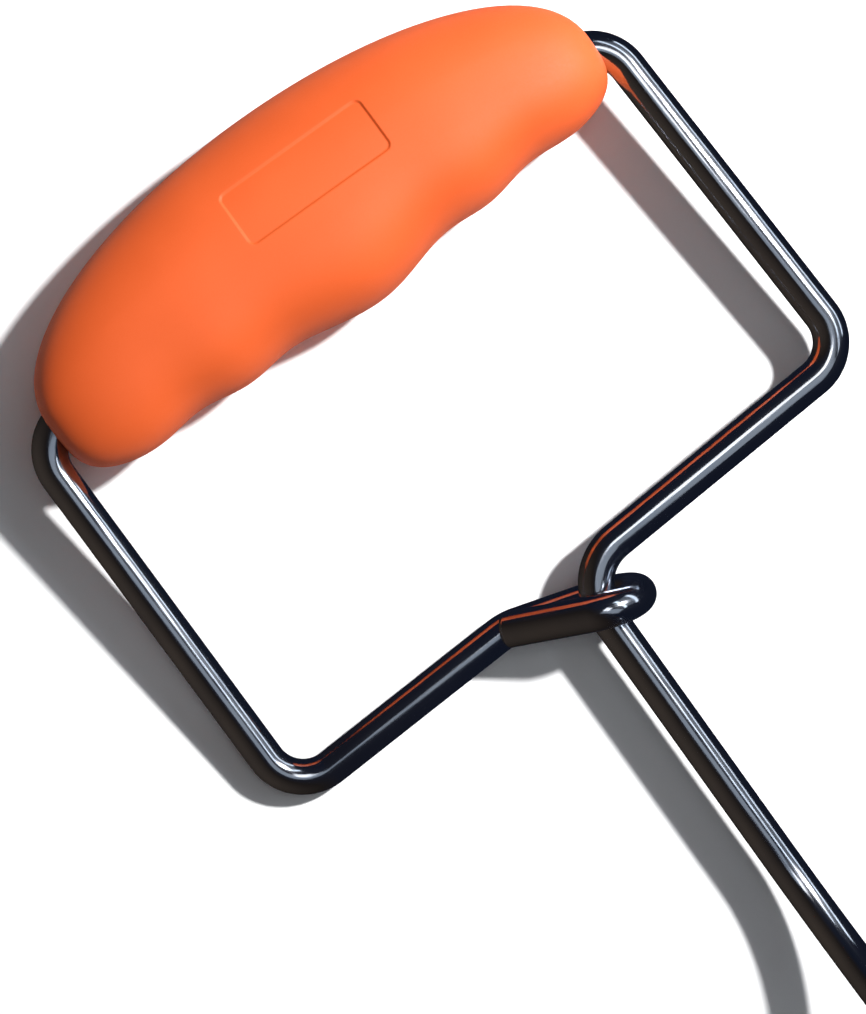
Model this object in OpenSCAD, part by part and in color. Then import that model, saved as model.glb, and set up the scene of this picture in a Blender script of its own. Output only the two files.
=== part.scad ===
// Lifting hook: one bent steel rod makes the D-shaped handle frame, the lapped
// eye and the hook, and a two-half core with a soft skin makes the finger grip.
// It lies on its back on z = 0, +X along the grip, +Y from the hook to the grip.
// The origin is the middle of the bounding box, on the table.

/* [Rod] */
// Diameter of the steel rod
rod_d = 6.35; // [6:0.05:6.4]
// Centre-line radius of the four corners of the handle frame
corner_r = 8; // [7:0.5:10]
// Centre-line radius of the bend from the handle base into the shank
eye_bend_r = 9.5; // [9:0.5:10]
// Centre-line radius of the lap round the shank
lap_r = 6.6; // [6.5:0.05:6.6]
// Bevel on the cut end of the lap
cut_bevel = 0.6; // [0.2:0.1:1]

/* [Handle frame] */
// Right end of the grip side, corner of the centre line
top_right_x = 60.1; // [58:0.1:62]
// Left end of the grip side, corner of the centre line
top_left_x = -60.7; // [-63:0.1:-59]
// Right base corner, sideways
base_right_x = 63.7; // [60:0.1:66]
// Right base corner, below the grip line
base_right_drop = 69.7; // [67:0.1:71]
// Left base corner, sideways
base_left_x = -60.8; // [-64:0.1:-59]
// Left base corner, below the grip line
base_left_drop = 77.1; // [76:0.1:78]
// Corner where the right base turns into the shank, below the grip line
eye_drop = 73.7; // [73:0.1:74]
// Height of the grip line above the table
grip_z = 13; // [13:0.1:14]

/* [Hook] */
// Sideways position of the shank
shank_x = 2.5; // [2.4:0.1:2.8]
// Straight shank from the eye corner to the start of the hook
shank_len = 59; // [40:1:90]
// Centre-line radius of the hook
hook_r = 38; // [25:1:45]
// Angle that the hook turns through
hook_angle = 150; // [130:1:160]
// Straight length of the nose before its domed end
nose_len = 12; // [8:1:25]

/* [Grip] */
// Half the length of the grip
grip_half_len = 57.1; // [56.5:0.1:57.5]
// Distance from the rod line to the palm side
palm_reach = 23.9; // [22:0.1:26]
// Distance from the rod line to the finger side, before the grooves are taken out
finger_reach = 14.7; // [14:0.1:15.5]
// How much fuller the left end of the finger side is than its middle
finger_lean = 1.3; // [0:0.1:2]
// Half the depth of the grip, front to back
grip_half_depth = 12.6; // [12:0.1:12.6]
// How far the middle ridge stands above the finger side
middle_ridge = 1.1; // [0.5:0.1:1.5]
// Depth of the two outer finger grooves
groove_deep = 2.1; // [1:0.1:2.2]
// Wall of the soft skin over the core
skin_wall = 3.5; // [3:0.1:4]
// Length of the blank label field on the front
label_len = 28.8; // [20:0.1:34]
// Width of the blank label field on the front
label_w = 10.3; // [8:0.1:11]

/* [Hidden] */
$fn = 64;
// the grip sits a little to the right of the middle of the grip line
grip_mid_x = 0.4;
// half width of each finger groove and of the middle ridge
ripple_w = 8;
// air between the rod, the core halves and the skin
gap = 0.05;
rod_r = rod_d / 2;
shank_z = rod_d + rod_r + 0.13;

// centre-line corners from the nose to the cut end of the lap
hook_reach = hook_r * tan(hook_angle / 2);
nose_dir = [0, -cos(hook_angle), sin(hook_angle)];
hook_corner = [shank_x, -eye_drop - shank_len - hook_reach, shank_z];
nose_end = hook_corner + (hook_reach + nose_len) * nose_dir;
eye_corner = [shank_x, -eye_drop, shank_z];
base_right = [base_right_x, -base_right_drop, shank_z];
top_right = [top_right_x, 0, grip_z];
top_left = [top_left_x, 0, grip_z];
base_left = [base_left_x, -base_left_drop, rod_r];
kink = [shank_x - 15.5, -eye_drop - 1.2, rod_r];
lap_low = [shank_x + 8.4, -eye_drop - 8.3, rod_r];
lap_high = [shank_x + 4.8, -eye_drop - 9.9, shank_z + 9.3];
lap_end = [shank_x - 16, -eye_drop - 0.8, shank_z + 0.1];

corners = [nose_end, hook_corner, eye_corner, base_right, top_right, top_left,
    base_left, kink, lap_low, lap_high, lap_end];
radii = [0, hook_r, eye_bend_r, corner_r, corner_r, corner_r, corner_r, 12,
    lap_r, lap_r, 0];

// the box that the whole hook fills, for the origin
mid_x = (base_right_x + min(top_left_x, base_left_x)) / 2 - 0.19;
mid_y = (palm_reach - eye_drop - shank_len - hook_r - rod_r) / 2;

function unit(v) = v / norm(v);
function turn_at(p, i) = acos(unit(p[i] - p[i - 1]) * unit(p[i + 1] - p[i]));
function reach_at(p, r, i) = r[i] == 0 ? 0 : r[i] * tan(turn_at(p, i) / 2);

// places children with their own z axis along one direction and x along another
module placed(at, x_dir, z_dir) {
    y_dir = cross(z_dir, x_dir);
    multmatrix([
        [x_dir[0], y_dir[0], z_dir[0], at[0]],
        [x_dir[1], y_dir[1], z_dir[1], at[1]],
        [x_dir[2], y_dir[2], z_dir[2], at[2]]])
        children();
}

// round bar from one point to another, with a bevel on its far end if asked;
// seam turns the start of its round surface away from the parting plane of the grip
module bar(a, b, d, bevel, seam) {
    along = unit(b - a);
    side = unit(cross(along, abs(along[2]) < 0.9 ? [0, 0, 1] : [1, 0, 0]));
    long = norm(b - a) - bevel;
    placed(a, side, along) {
        rotate(seam)
            cylinder(h = long, d = d);
        if (bevel > 0) {
            translate([0, 0, long])
                cylinder(h = bevel, d1 = d, d2 = d - 2 * bevel);
        }
    }
}

// bend of the bar at corner i of the list p
module elbow(p, r, i, d, seam) {
    before = unit(p[i] - p[i - 1]);
    after = unit(p[i + 1] - p[i]);
    inward = unit(after - before * (before * after));
    start = p[i] - before * reach_at(p, r, i);
    placed(start + inward * r[i], -inward, cross(-inward, before))
        rotate_extrude(angle = turn_at(p, i))
            translate([r[i], 0])
                rotate(seam)
                    circle(d = d);
}

// bar that follows the corners of the list p
module bent_bar(p, r, d, bevel = 0, seam = 0) {
    end = len(p) - 2;
    for (i = [0 : end]) {
        along = unit(p[i + 1] - p[i]);
        first = i == 0 ? 0 : reach_at(p, r, i);
        last = i == end ? 0 : reach_at(p, r, i + 1);
        bar(p[i] + along * first, p[i + 1] - along * last, d, i == end ? bevel : 0, seam);
    }
    for (i = [1 : end]) {
        elbow(p, r, i, d, seam);
    }
}

// half sphere on the nose
module nose_dome() {
    placed(nose_end, [1, 0, 0], nose_dir)
        rotate_extrude()
            intersection() {
                circle(r = rod_r);
                square(rod_d);
            }
}

module rod() {
    color("silver")
        translate([-mid_x, -mid_y, 0]) {
            bent_bar(corners, radii, rod_d, cut_bevel);
            nose_dome();
        }
}

// the straight stretch of the rod inside the core, with air round it
module core_hole() {
    bar([-grip_half_len, 0, grip_z], [grip_half_len, 0, grip_z], rod_d + 2 * gap, 0, 90);
}

// the rod where it passes through the skin, with air round it
module rod_hole() {
    bent_bar([base_right, top_right, top_left, base_left], [0, corner_r, corner_r, 0],
        rod_d + 2 * gap, seam = 90);
}

// outline of the grip seen from the front
function bell(s, w) = exp(-s * s / (w * w));
function swell(t, n) = pow(max(0, 1 - pow(abs(t), n)), 1 / n);
function ripple(s) = middle_ridge * bell(s - 2.9, ripple_w)
    - groove_deep * (bell(s + 33.7, ripple_w) + bell(s - 36.9, ripple_w))
    - 0.8 * groove_deep * (bell(s + 15.2, ripple_w) + bell(s - 19, ripple_w));

// point of the grip section at the share t of its length, inset under the surface,
// and deeper at the ends, so that the core stops short of the bends in the rod
function grip_point(t, a, inset) =
    let (s = grip_mid_x + t * (grip_half_len - 1.7 * inset),
        palm = 2 + (palm_reach - 2 - inset) * swell(t, 2),
        finger = 2 + (finger_reach - 2 - inset - finger_lean * t) * swell(t, 4),
        depth = 2 + (grip_half_depth - 2 - inset) * swell(t, 3.2),
        c = cos(a),
        z = sin(a),
        groove = ripple(s) * max(0, min(1, (0.35 - c) / 1.1)) * swell(t, 6),
        y = (c > 0 ? palm : finger) * sign(c) * pow(abs(c), 0.92))
    [s, y + groove * c, depth * sign(z) * pow(abs(z), 0.92) + 0.5 * groove * z];

// closed shell through rings of points along the grip, over some of the turn
module grip_shell(inset, rings, sides, first = 0, span = 360) {
    per = span == 360 ? sides : sides + 1;
    ts = [for (i = [0 : rings - 1]) 0.992 * sin(-90 + 180 * i / (rings - 1))];
    points = [for (t = ts) for (j = [0 : per - 1])
        grip_point(t, first + span * j / sides, inset)];
    walls = [for (i = [0 : rings - 2]) for (j = [0 : per - 1]) let (k = (j + 1) % per)
        [i * per + j, i * per + k, (i + 1) * per + k, (i + 1) * per + j]];
    quads = [for (w = walls) for (h = [0, 1]) h == 0 ? [w[0], w[2], w[1]] : [w[0], w[3], w[2]]];
    caps = [[for (j = [0 : per - 1]) j],
        [for (j = [0 : per - 1]) rings * per - 1 - j]];
    translate([0, 0, grip_z])
        polyhedron(points = points, faces = concat(quads, caps));
}

// pegs of the front half, or with air round them the sockets of the back half
module pegs(air) {
    for (x = [-32, 0, 32]) {
        translate([x, 10, grip_z - 4 - air])
            cylinder(h = 4.5, d = 4 + 2 * air);
    }
}

// one half of the core, with a flat parting face at the rod line
module core_half(front) {
    translate([0, 0, front ? gap : -gap])
        grip_shell(skin_wall + gap, 21, 12, front ? 0 : 180, 180);
}

module grip_core_front() {
    color("dimgray")
        translate([-mid_x, -mid_y, 0])
            difference() {
                union() {
                    core_half(true);
                    pegs(0);
                }
                core_hole();
            }
}

module grip_core_back() {
    color("dimgray")
        translate([-mid_x, -mid_y, 0])
            difference() {
                core_half(false);
                pegs(0.15);
                core_hole();
            }
}

module grip_skin() {
    color("darkorange")
        translate([-mid_x, -mid_y, 0])
            difference() {
                grip_shell(0, 41, 32);
                grip_shell(skin_wall, 21, 20);
                rod_hole();
                translate([4.1, 8.4, grip_z + grip_half_depth - 1.25])
                    rotate([-10, 0, 0])
                        translate([-label_len / 2, -label_w / 2, 0])
                            cube([label_len, label_w, 4]);
            }
}

rod();
grip_core_front();
grip_core_back();
grip_skin();
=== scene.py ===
# Lifting hook: chromed rod, soft orange grip, pale floor and studio light.
import math

import bmesh
import bpy
from mathutils import Matrix, Vector


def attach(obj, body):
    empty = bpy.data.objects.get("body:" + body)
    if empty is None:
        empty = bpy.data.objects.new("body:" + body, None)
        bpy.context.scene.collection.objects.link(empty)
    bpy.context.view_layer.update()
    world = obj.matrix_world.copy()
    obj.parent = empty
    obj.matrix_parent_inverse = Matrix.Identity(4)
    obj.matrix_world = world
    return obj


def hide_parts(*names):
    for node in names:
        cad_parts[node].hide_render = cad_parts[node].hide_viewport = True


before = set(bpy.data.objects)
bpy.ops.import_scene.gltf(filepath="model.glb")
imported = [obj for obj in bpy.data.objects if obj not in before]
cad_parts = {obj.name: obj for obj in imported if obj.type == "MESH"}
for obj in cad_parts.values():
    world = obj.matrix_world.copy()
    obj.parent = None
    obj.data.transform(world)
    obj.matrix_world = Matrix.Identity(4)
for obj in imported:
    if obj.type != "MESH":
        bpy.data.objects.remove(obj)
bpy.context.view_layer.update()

MM = 0.001

# ---------------------------------------------------------------- the rod's route, in mm
ROD_D = 6.35
ROD_R = ROD_D / 2
CORNER_R = 8.0
EYE_BEND_R = 9.5
KINK_R = 12.0
LAP_R = 6.6
HOOK_R = 38.0
HOOK_ANGLE = math.radians(150)
GRIP_Z = 13.0
SHANK_X = 2.5
SHANK_Z = ROD_D + ROD_R + 0.13
EYE_DROP = 73.7
SHANK_LEN = 59.0
NOSE_LEN = 12.0
CUT_BEVEL = 0.6
PALM_REACH = 23.9

HOOK_REACH = HOOK_R * math.tan(HOOK_ANGLE / 2)
NOSE_DIR = Vector((0, -math.cos(HOOK_ANGLE), math.sin(HOOK_ANGLE)))
HOOK_CORNER = Vector((SHANK_X, -EYE_DROP - SHANK_LEN - HOOK_REACH, SHANK_Z))

NOSE_END = HOOK_CORNER + (HOOK_REACH + NOSE_LEN) * NOSE_DIR
EYE_CORNER = Vector((SHANK_X, -EYE_DROP, SHANK_Z))
BASE_RIGHT = Vector((63.7, -69.7, SHANK_Z))
TOP_RIGHT = Vector((60.1, 0, GRIP_Z))
TOP_LEFT = Vector((-60.7, 0, GRIP_Z))
BASE_LEFT = Vector((-60.8, -77.1, ROD_R))
KINK = Vector((SHANK_X - 15.5, -EYE_DROP - 1.2, ROD_R))
LAP_LOW = Vector((SHANK_X + 8.4, -EYE_DROP - 8.3, ROD_R))
LAP_HIGH = Vector((SHANK_X + 4.8, -EYE_DROP - 9.9, SHANK_Z + 9.3))
LAP_END = Vector((SHANK_X - 16, -EYE_DROP - 0.8, SHANK_Z + 0.1))

# from the nose to the cut end of the lap: the corner and the radius of its bend
ROUTE = [
    (NOSE_END, 0),
    (HOOK_CORNER, HOOK_R),
    (EYE_CORNER, EYE_BEND_R),
    (BASE_RIGHT, CORNER_R),
    (TOP_RIGHT, CORNER_R),
    (TOP_LEFT, CORNER_R),
    (BASE_LEFT, CORNER_R),
    (KINK, KINK_R),
    (LAP_LOW, LAP_R),
    (LAP_HIGH, LAP_R),
    (LAP_END, 0),
]

# from the middle of the grip line to the middle of the hook's box, as in the CAD
ORIGIN = Vector((
    (BASE_RIGHT.x + BASE_LEFT.x) / 2 - 0.19,
    (PALM_REACH - EYE_DROP - SHANK_LEN - HOOK_R - ROD_R) / 2,
    0,
))


def in_row(point):
    """A point in mm from the middle of the grip line, as metres in the row frame."""
    return (point - ORIGIN) * MM


# ---------------------------------------------------------------- helpers
def new_mesh(name, verts, faces, smooth=True):
    mesh = bpy.data.meshes.new(name)
    mesh.from_pydata([tuple(v) for v in verts], [], faces)
    mesh.update()
    obj = bpy.data.objects.new(name, mesh)
    bpy.context.scene.collection.objects.link(obj)
    bm = bmesh.new()
    bm.from_mesh(mesh)
    bmesh.ops.recalc_face_normals(bm, faces=bm.faces)
    bm.to_mesh(mesh)
    bm.free()
    for polygon in mesh.polygons:
        polygon.use_smooth = smooth
    return obj


def bell(x, width):
    return math.exp(-(x / width) ** 2)


def swell(t, power):
    return max(0.0, 1 - abs(t) ** power) ** (1 / power)


def step(low, high, x):
    x = min(1.0, max(0.0, (x - low) / (high - low)))
    return x * x * (3 - 2 * x)


# ---------------------------------------------------------------- rod
def centre_line(route, along_step=2.5, turn_step=math.radians(2.5)):
    """Points and directions along the route, straights and round bends alike."""
    points = [corner for corner, _ in route]
    reach = [0.0] * len(route)
    for i in range(1, len(route) - 1):
        before = (points[i] - points[i - 1]).normalized()
        after = (points[i + 1] - points[i]).normalized()
        reach[i] = route[i][1] * math.tan(before.angle(after) / 2)
    line = []
    for i in range(len(route) - 1):
        along = (points[i + 1] - points[i]).normalized()
        start = points[i] + along * reach[i]
        stop = points[i + 1] - along * reach[i + 1]
        count = max(1, round((stop - start).length / along_step))
        line += [(start.lerp(stop, k / count), along) for k in range(count + 1)]
        if i + 2 < len(route):
            after = (points[i + 2] - points[i + 1]).normalized()
            turn = along.angle(after)
            radius = route[i + 1][1]
            inward = (after - along * along.dot(after)).normalized()
            middle = stop + inward * radius
            count = max(2, round(turn / turn_step))
            for k in range(1, count):
                a = turn * k / count
                line.append((
                    middle + radius * (along * math.sin(a) - inward * math.cos(a)),
                    along * math.cos(a) + inward * math.sin(a),
                ))
    return line


# the saw cut on the lap: distance back from the cut face and radius there
CUT_PROFILE = (
    (CUT_BEVEL + 0.25, ROD_R),
    (CUT_BEVEL + 0.08, ROD_R - 0.01),
    (CUT_BEVEL - 0.05, ROD_R - 0.08),
    (0.08, ROD_R - CUT_BEVEL + 0.07),
    (0.0, ROD_R - CUT_BEVEL - 0.02),
    (0.0, ROD_R - CUT_BEVEL - 0.2),
    (0.03, 1.2),
    (0.03, 0.5),
)


def rod_rings(line):
    """Middle, direction and radius of each ring: domed nose, route, bevelled cut."""
    nose, nose_along = line[0]
    rings = []
    for k in range(1, 13):
        a = math.radians(90) * k / 12
        rings.append((nose - nose_along * ROD_R * math.cos(a), nose_along, ROD_R * math.sin(a)))
    rings += [(middle, along, ROD_R) for middle, along in line[1:-1]]
    end, end_along = line[-1]
    rings += [(end - end_along * back, end_along, radius) for back, radius in CUT_PROFILE]
    return rings


def make_rod(sides=64):
    line = centre_line(ROUTE)
    rings = rod_rings(line)
    verts = []
    # where each point is round the bar and along it, for the draw lines in the chrome
    drawn = []
    side = rings[0][1].orthogonal().normalized()
    travelled = 0.0
    last_middle = rings[0][0]
    for middle, along, radius in rings:
        side = (side - along * side.dot(along)).normalized()
        up = along.cross(side)
        travelled += (middle - last_middle).length
        last_middle = middle
        for j in range(sides):
            a = 2 * math.pi * j / sides
            verts.append(in_row(middle + radius * (side * math.cos(a) + up * math.sin(a))))
            drawn.append((math.cos(a), math.sin(a), travelled))
    nose_tip = len(verts)
    nose, nose_along = line[0]
    verts.append(in_row(nose - nose_along * ROD_R))
    drawn.append((0, 0, 0))
    cut_middle = len(verts)
    end, end_along = line[-1]
    verts.append(in_row(end - end_along * CUT_PROFILE[-1][0]))
    drawn.append((0, 0, travelled))
    faces = []
    for k in range(len(rings) - 1):
        for j in range(sides):
            n = (j + 1) % sides
            faces.append((k * sides + j, k * sides + n, (k + 1) * sides + n, (k + 1) * sides + j))
    last = (len(rings) - 1) * sides
    for j in range(sides):
        n = (j + 1) % sides
        faces.append((nose_tip, n, j))
        faces.append((last + j, last + n, cut_middle))
    rod = new_mesh("bent_rod", verts, faces)
    attribute = rod.data.attributes.new("drawn", "FLOAT_VECTOR", "POINT")
    for item, value in zip(attribute.data, drawn):
        item.vector = value
    return rod


# ---------------------------------------------------------------- grip skin
GRIP_MID_X = 0.4
GRIP_HALF_LEN = 57.1
FINGER_REACH = 14.7
FINGER_LEAN = 1.3
HALF_DEPTH = 12.6
# place along the grip and height or depth
RIDGE = (2.9, 1.1)
GROOVES = ((-33.7, 2.1), (-15.2, 1.68), (19.0, 1.68), (36.9, 2.1))
RIPPLE_WIDTH = 8.0
# blank label field on the front: middle, half size, corner radius and depth
LABEL_MID = (4.1, 8.4)
LABEL_HALF = (14.4, 5.15)
LABEL_CORNER = 1.2
LABEL_DEEP = 0.3
# height and sharpness of the parting seam
SEAM_HIGH = 0.07
SEAM_SHARP = 40.0
# power that squares off the section a little
SECTION_POWER = 0.92
# share of each reach, in mm, that lasts almost to the tips and keeps the ends blunt
BLUNT = 2.0


def ripple(s):
    """How far the finger side stands out or in at s along the grip."""
    grooves = sum(deep * bell(s - place, RIPPLE_WIDTH) for place, deep in GROOVES)
    return RIDGE[1] * bell(s - RIDGE[0], RIPPLE_WIDTH) - grooves


def grip_point(t, a):
    """Surface point at the share t of the half length and at the angle a from the palm side."""
    s = GRIP_MID_X + t * GRIP_HALF_LEN
    blunt = BLUNT * swell(t, 6)
    palm = blunt + (PALM_REACH - BLUNT) * swell(t, 2)
    finger = blunt + (FINGER_REACH - BLUNT - FINGER_LEAN * t) * swell(t, 4)
    depth = blunt + (HALF_DEPTH - BLUNT) * swell(t, 3.2)
    c = math.cos(a)
    z = math.sin(a)
    groove = ripple(s) * max(0.0, min(1.0, (0.35 - c) / 1.1)) * swell(t, 6)
    y = (palm if c > 0 else finger) * math.copysign(abs(c) ** SECTION_POWER, c)
    height = depth * math.copysign(abs(z) ** SECTION_POWER, z)
    return Vector((s, y + groove * c, height + 0.5 * groove * z))


def label_depth(x, y):
    """1 inside the blank label field, 0 outside, over a narrow rounded edge."""
    dx = max(0.0, abs(x - LABEL_MID[0]) - LABEL_HALF[0] + LABEL_CORNER)
    dy = max(0.0, abs(y - LABEL_MID[1]) - LABEL_HALF[1] + LABEL_CORNER)
    return 1 - step(-0.25, 0.25, math.hypot(dx, dy) - LABEL_CORNER)


def stations(low, high, count, marks, fine, spread):
    """Even stations from low to high, with fine ones round each mark."""
    values = [low + (high - low) * k / count for k in range(count + 1)]
    for mark in marks:
        values = [v for v in values if abs(v - mark) > spread]
        n = round(2 * spread / fine)
        values += [mark - spread + 2 * spread * k / n for k in range(n + 1)]
    return sorted(values)


def skin_point(t, a):
    """Point of the finished skin: the grip surface with its label field and parting seam."""
    p = grip_point(t, a)
    if 0 < a < math.pi:
        sink = LABEL_DEEP * label_depth(p.x, p.y)
        p.z -= sink
        p.y -= 0.25 * sink
    # the seam is flush with the CAD, and the rest lies a little inside it
    p.y += SEAM_HIGH * (bell(math.sin(a) * SEAM_SHARP, 1.0) - 1) * swell(t, 8) * math.cos(a)
    return in_row(p + Vector((0, 0, GRIP_Z)))


def make_grip(rings=220, sides=240):
    label_ends = (LABEL_MID[0] - LABEL_HALF[0], LABEL_MID[0] + LABEL_HALF[0])
    label_borders = (LABEL_MID[1] - LABEL_HALF[1], LABEL_MID[1] + LABEL_HALF[1])
    # the rings crowd towards both ends of the grip and round the ends of the label field
    ends = [math.asin((x - GRIP_MID_X) / GRIP_HALF_LEN) for x in label_ends]
    turns = stations(-math.pi / 2, math.pi / 2, rings, ends, 0.002, 0.014)
    ts = [math.sin(turn) for turn in turns][1:-1]
    borders = [math.acos((y / PALM_REACH) ** (1 / SECTION_POWER)) for y in label_borders]
    angles = stations(0, 2 * math.pi, sides, borders, 0.006, 0.06)[:-1]
    verts = [skin_point(t, a) for t in ts for a in angles]
    n = len(angles)
    faces = []
    for i in range(len(ts) - 1):
        for j in range(n):
            k = (j + 1) % n
            faces.append((i * n + j, i * n + k, (i + 1) * n + k, (i + 1) * n + j))
    for t, first in ((-1, 0), (1, (len(ts) - 1) * n)):
        tip = len(verts)
        verts.append(in_row(grip_point(t, 0) + Vector((0, 0, GRIP_Z))))
        for j in range(n):
            faces.append((tip, first + j, first + (j + 1) % n))
    return new_mesh("finger_grip", verts, faces)


# ---------------------------------------------------------------- materials
def material(name):
    mat = bpy.data.materials.new(name)
    mat.use_nodes = True
    nodes = mat.node_tree.nodes
    nodes.clear()
    out = nodes.new("ShaderNodeOutputMaterial")
    shader = nodes.new("ShaderNodeBsdfPrincipled")
    mat.node_tree.links.new(shader.outputs[0], out.inputs[0])
    return mat, nodes, mat.node_tree.links, shader


def object_noise(nodes, links, scale, detail=3.0, vector=None):
    if vector is None:
        vector = nodes.new("ShaderNodeTexCoord").outputs["Object"]
    noise = nodes.new("ShaderNodeTexNoise")
    noise.inputs["Scale"].default_value = scale
    noise.inputs["Detail"].default_value = detail
    links.new(vector, noise.inputs["Vector"])
    return noise.outputs["Fac"]


def ramp(nodes, links, value, stops):
    node = nodes.new("ShaderNodeValToRGB")
    node.color_ramp.elements[0].position = stops[0][0]
    node.color_ramp.elements[0].color = (*stops[0][1], 1)
    node.color_ramp.elements[1].position = stops[-1][0]
    node.color_ramp.elements[1].color = (*stops[-1][1], 1)
    for place, colour in stops[1:-1]:
        node.color_ramp.elements.new(place).color = (*colour, 1)
    links.new(value, node.inputs["Fac"])
    return node.outputs["Color"]


def bump(nodes, links, shader, height, strength, distance):
    node = nodes.new("ShaderNodeBump")
    node.inputs["Strength"].default_value = strength
    node.inputs["Distance"].default_value = distance
    links.new(height, node.inputs["Height"])
    links.new(node.outputs["Normal"], shader.inputs["Normal"])


def grey(value):
    return (value, value, value)


def chrome_material():
    """Polished chrome over drawn steel: faint draw lines along the bar and light smudges."""
    mat, nodes, links, shader = material("polished_chrome")
    shader.inputs["Metallic"].default_value = 1.0
    drawn = nodes.new("ShaderNodeAttribute")
    drawn.attribute_name = "drawn"
    squeeze = nodes.new("ShaderNodeMapping")
    squeeze.inputs["Scale"].default_value = (9.0, 9.0, 0.05)
    links.new(drawn.outputs["Vector"], squeeze.inputs["Vector"])
    lines = object_noise(nodes, links, 3.0, 4.0, squeeze.outputs["Vector"])
    smudge = object_noise(nodes, links, 90.0, 4.0)
    links.new(ramp(nodes, links, smudge, [(0.3, (0.50, 0.53, 0.60)), (0.7, (0.60, 0.62, 0.67))]),
              shader.inputs["Base Color"])
    links.new(ramp(nodes, links, lines, [(0.3, grey(0.07)), (0.75, grey(0.17))]),
              shader.inputs["Roughness"])
    bump(nodes, links, shader, lines, 0.12, 0.00005)
    return mat


def rubber_material():
    """Soft orange moulding with a fine matte grain."""
    mat, nodes, links, shader = material("soft_orange_rubber")
    cloud = object_noise(nodes, links, 45.0, 4.0)
    grain = object_noise(nodes, links, 3200.0, 2.0)
    links.new(ramp(nodes, links, cloud, [(0.3, (0.63, 0.088, 0.013)), (0.7, (0.69, 0.100, 0.017))]),
              shader.inputs["Base Color"])
    links.new(ramp(nodes, links, grain, [(0.3, grey(0.60)), (0.7, grey(0.70))]),
              shader.inputs["Roughness"])
    shader.inputs["Specular IOR Level"].default_value = 0.4
    bump(nodes, links, shader, grain, 0.10, 0.00006)
    return mat


def core_material():
    """Dark moulded plastic of the hidden core."""
    mat, nodes, links, shader = material("core_plastic")
    grain = object_noise(nodes, links, 900.0, 3.0)
    links.new(ramp(nodes, links, grain, [(0.3, (0.020, 0.020, 0.022)), (0.7, (0.035, 0.035, 0.038))]),
              shader.inputs["Base Color"])
    links.new(ramp(nodes, links, grain, [(0.3, grey(0.5)), (0.7, grey(0.65))]),
              shader.inputs["Roughness"])
    bump(nodes, links, shader, grain, 0.15, 0.0001)
    return mat


def floor_material():
    """Plain pale table."""
    mat, nodes, links, shader = material("white_table")
    cloud = object_noise(nodes, links, 12.0, 3.0)
    links.new(ramp(nodes, links, cloud, [(0.3, grey(0.91)), (0.7, grey(0.93))]),
              shader.inputs["Base Color"])
    shader.inputs["Roughness"].default_value = 0.9
    shader.inputs["Specular IOR Level"].default_value = 0.1
    return mat


# ---------------------------------------------------------------- camera, floor and light
VIEW_MID = Vector((-11.1, -49.8, SHANK_Z))
VIEW_WIDTH = 150.7
VIEW_DISTANCE = 400.0
# the picture's right and up, seen from above
VIEW_TURN = math.radians(35.6)
PICTURE_RIGHT = Vector((math.cos(VIEW_TURN), -math.sin(VIEW_TURN), 0))
PICTURE_UP = Vector((math.sin(VIEW_TURN), math.cos(VIEW_TURN), 0))

# the dark room that the chrome mirrors, and the daylight of the panels
NIGHT_BLUE = (0.010, 0.013, 0.024)
WARM_DARK = (0.018, 0.014, 0.012)
WARM_GLOW = (0.060, 0.046, 0.036)
COOL = (0.80, 0.90, 1.0)


def make_camera():
    camera = bpy.data.objects.new("camera", bpy.data.cameras.new("camera"))
    camera.data.sensor_fit = "HORIZONTAL"
    camera.data.sensor_width = 36.0
    camera.data.lens = 36.0 * VIEW_DISTANCE / VIEW_WIDTH
    camera.data.clip_start = 0.02
    turned = Matrix((PICTURE_RIGHT, PICTURE_UP, Vector((0, 0, 1)))).transposed().to_4x4()
    place = in_row(VIEW_MID + Vector((0, 0, VIEW_DISTANCE)))
    camera.matrix_world = Matrix.Translation(place) @ turned
    bpy.context.scene.collection.objects.link(camera)
    bpy.context.scene.camera = camera


def make_floor():
    half = 2.0
    corners = [(-half, -half, 0), (half, -half, 0), (half, half, 0), (-half, half, 0)]
    floor = new_mesh("table_top", corners, [(0, 1, 2, 3)], smooth=False)
    floor.data.materials.append(floor_material())
    floor.visible_glossy = False


def toward(azimuth, tilt):
    """A direction by its angle from the picture's right, anticlockwise, and from straight up."""
    azimuth, tilt = math.radians(azimuth), math.radians(tilt)
    level = PICTURE_RIGHT * math.cos(azimuth) + PICTURE_UP * math.sin(azimuth)
    return level * math.sin(tilt) + Vector((0, 0, math.cos(tilt)))


def add_light(name, kind, azimuth, tilt, distance):
    """A light that faces the middle of the view from one direction."""
    light = bpy.data.lights.new(name, kind)
    obj = bpy.data.objects.new(name, light)
    facing = toward(azimuth, tilt)
    across = Vector((0, 0, 1)).cross(facing).normalized()
    turned = Matrix((across, facing.cross(across), facing)).transposed().to_4x4()
    obj.matrix_world = Matrix.Translation(in_row(VIEW_MID) + facing * distance) @ turned
    bpy.context.scene.collection.objects.link(obj)
    return obj


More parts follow.
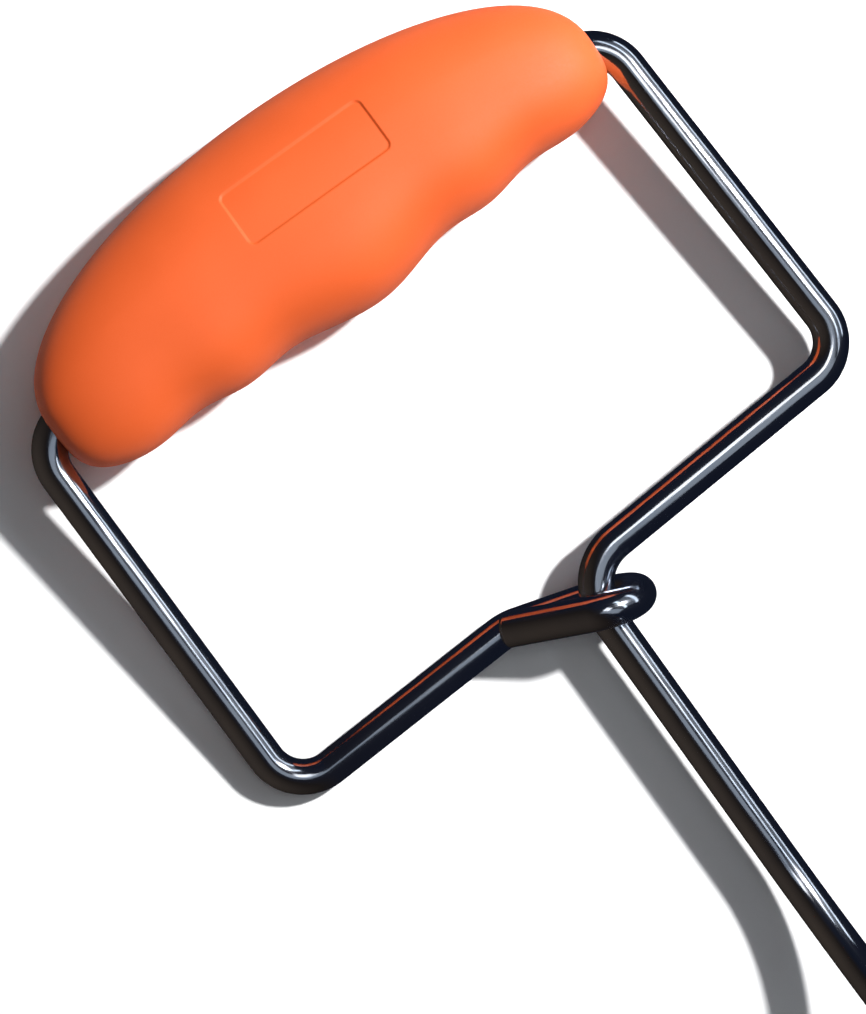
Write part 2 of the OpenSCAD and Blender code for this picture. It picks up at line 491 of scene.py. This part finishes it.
def soft_box(name, azimuth, tilt, length, height, radiance, colour=(1, 1, 1), distance=1.0):
    """A glowing panel: length lies level, height follows the tilt, both in metres."""
    obj = add_light(name, "AREA", azimuth, tilt, distance)
    obj.data.shape = "RECTANGLE"
    obj.data.size = length
    obj.data.size_y = height
    obj.data.energy = radiance * length * height * math.pi
    obj.data.color = colour
    return obj


def make_world():
    """A dark room, blue on the lamp's side and warm on the other."""
    world = bpy.data.worlds.new("studio")
    world.use_nodes = True
    nodes = world.node_tree.nodes
    links = world.node_tree.links
    direction = nodes.new("ShaderNodeTexCoord").outputs["Generated"]
    side = nodes.new("ShaderNodeVectorMath")
    side.operation = "DOT_PRODUCT"
    side.inputs[1].default_value = toward(217, 90)
    links.new(direction, side.inputs[0])
    shade = ramp(nodes, links, side.outputs["Value"],
                 [(0.0, NIGHT_BLUE), (0.35, WARM_DARK), (1.0, WARM_GLOW)])
    links.new(shade, nodes["Background"].inputs["Color"])
    bpy.context.scene.world = world


def make_lights():
    # a small lamp beside the object throws the shadows; the panels are what the rod mirrors
    lamp = add_light("lamp", "AREA", 36, 41, 0.524)
    lamp.data.shape = "DISK"
    lamp.data.size = 0.04
    lamp.data.energy = 5.2
    fill = soft_box("fill", 0, 20, 2.4, 2.4, 0.18, distance=1.5)
    fill.visible_glossy = False
    soft_box("streak_high", 37, 38, 1.0, 0.10, 2.2, COOL)
    soft_box("window", 37, 50, 1.0, 0.70, 0.13, COOL, 1.05)
    soft_box("streak_low", 37, 69, 1.0, 0.12, 1.9, COOL)
    soft_box("overhead", 66, 10, 0.24, 0.24, 1.9)
    soft_box("window_right", -25, 17, 0.36, 0.90, 0.40, COOL, 1.05)
    make_world()
    bpy.context.scene.view_settings.view_transform = "Standard"


# ---------------------------------------------------------------- put it together
make_camera()
make_floor()
make_lights()

rod = make_rod()
rod.data.materials.append(chrome_material())
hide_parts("rod")
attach(rod, "root")

grip = make_grip()
grip.data.materials.append(rubber_material())
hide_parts("grip_skin")
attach(grip, "root")

core = core_material()
for half in ("grip_core_front", "grip_core_back"):
    for material_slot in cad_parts[half].material_slots:
        material_slot.material = core
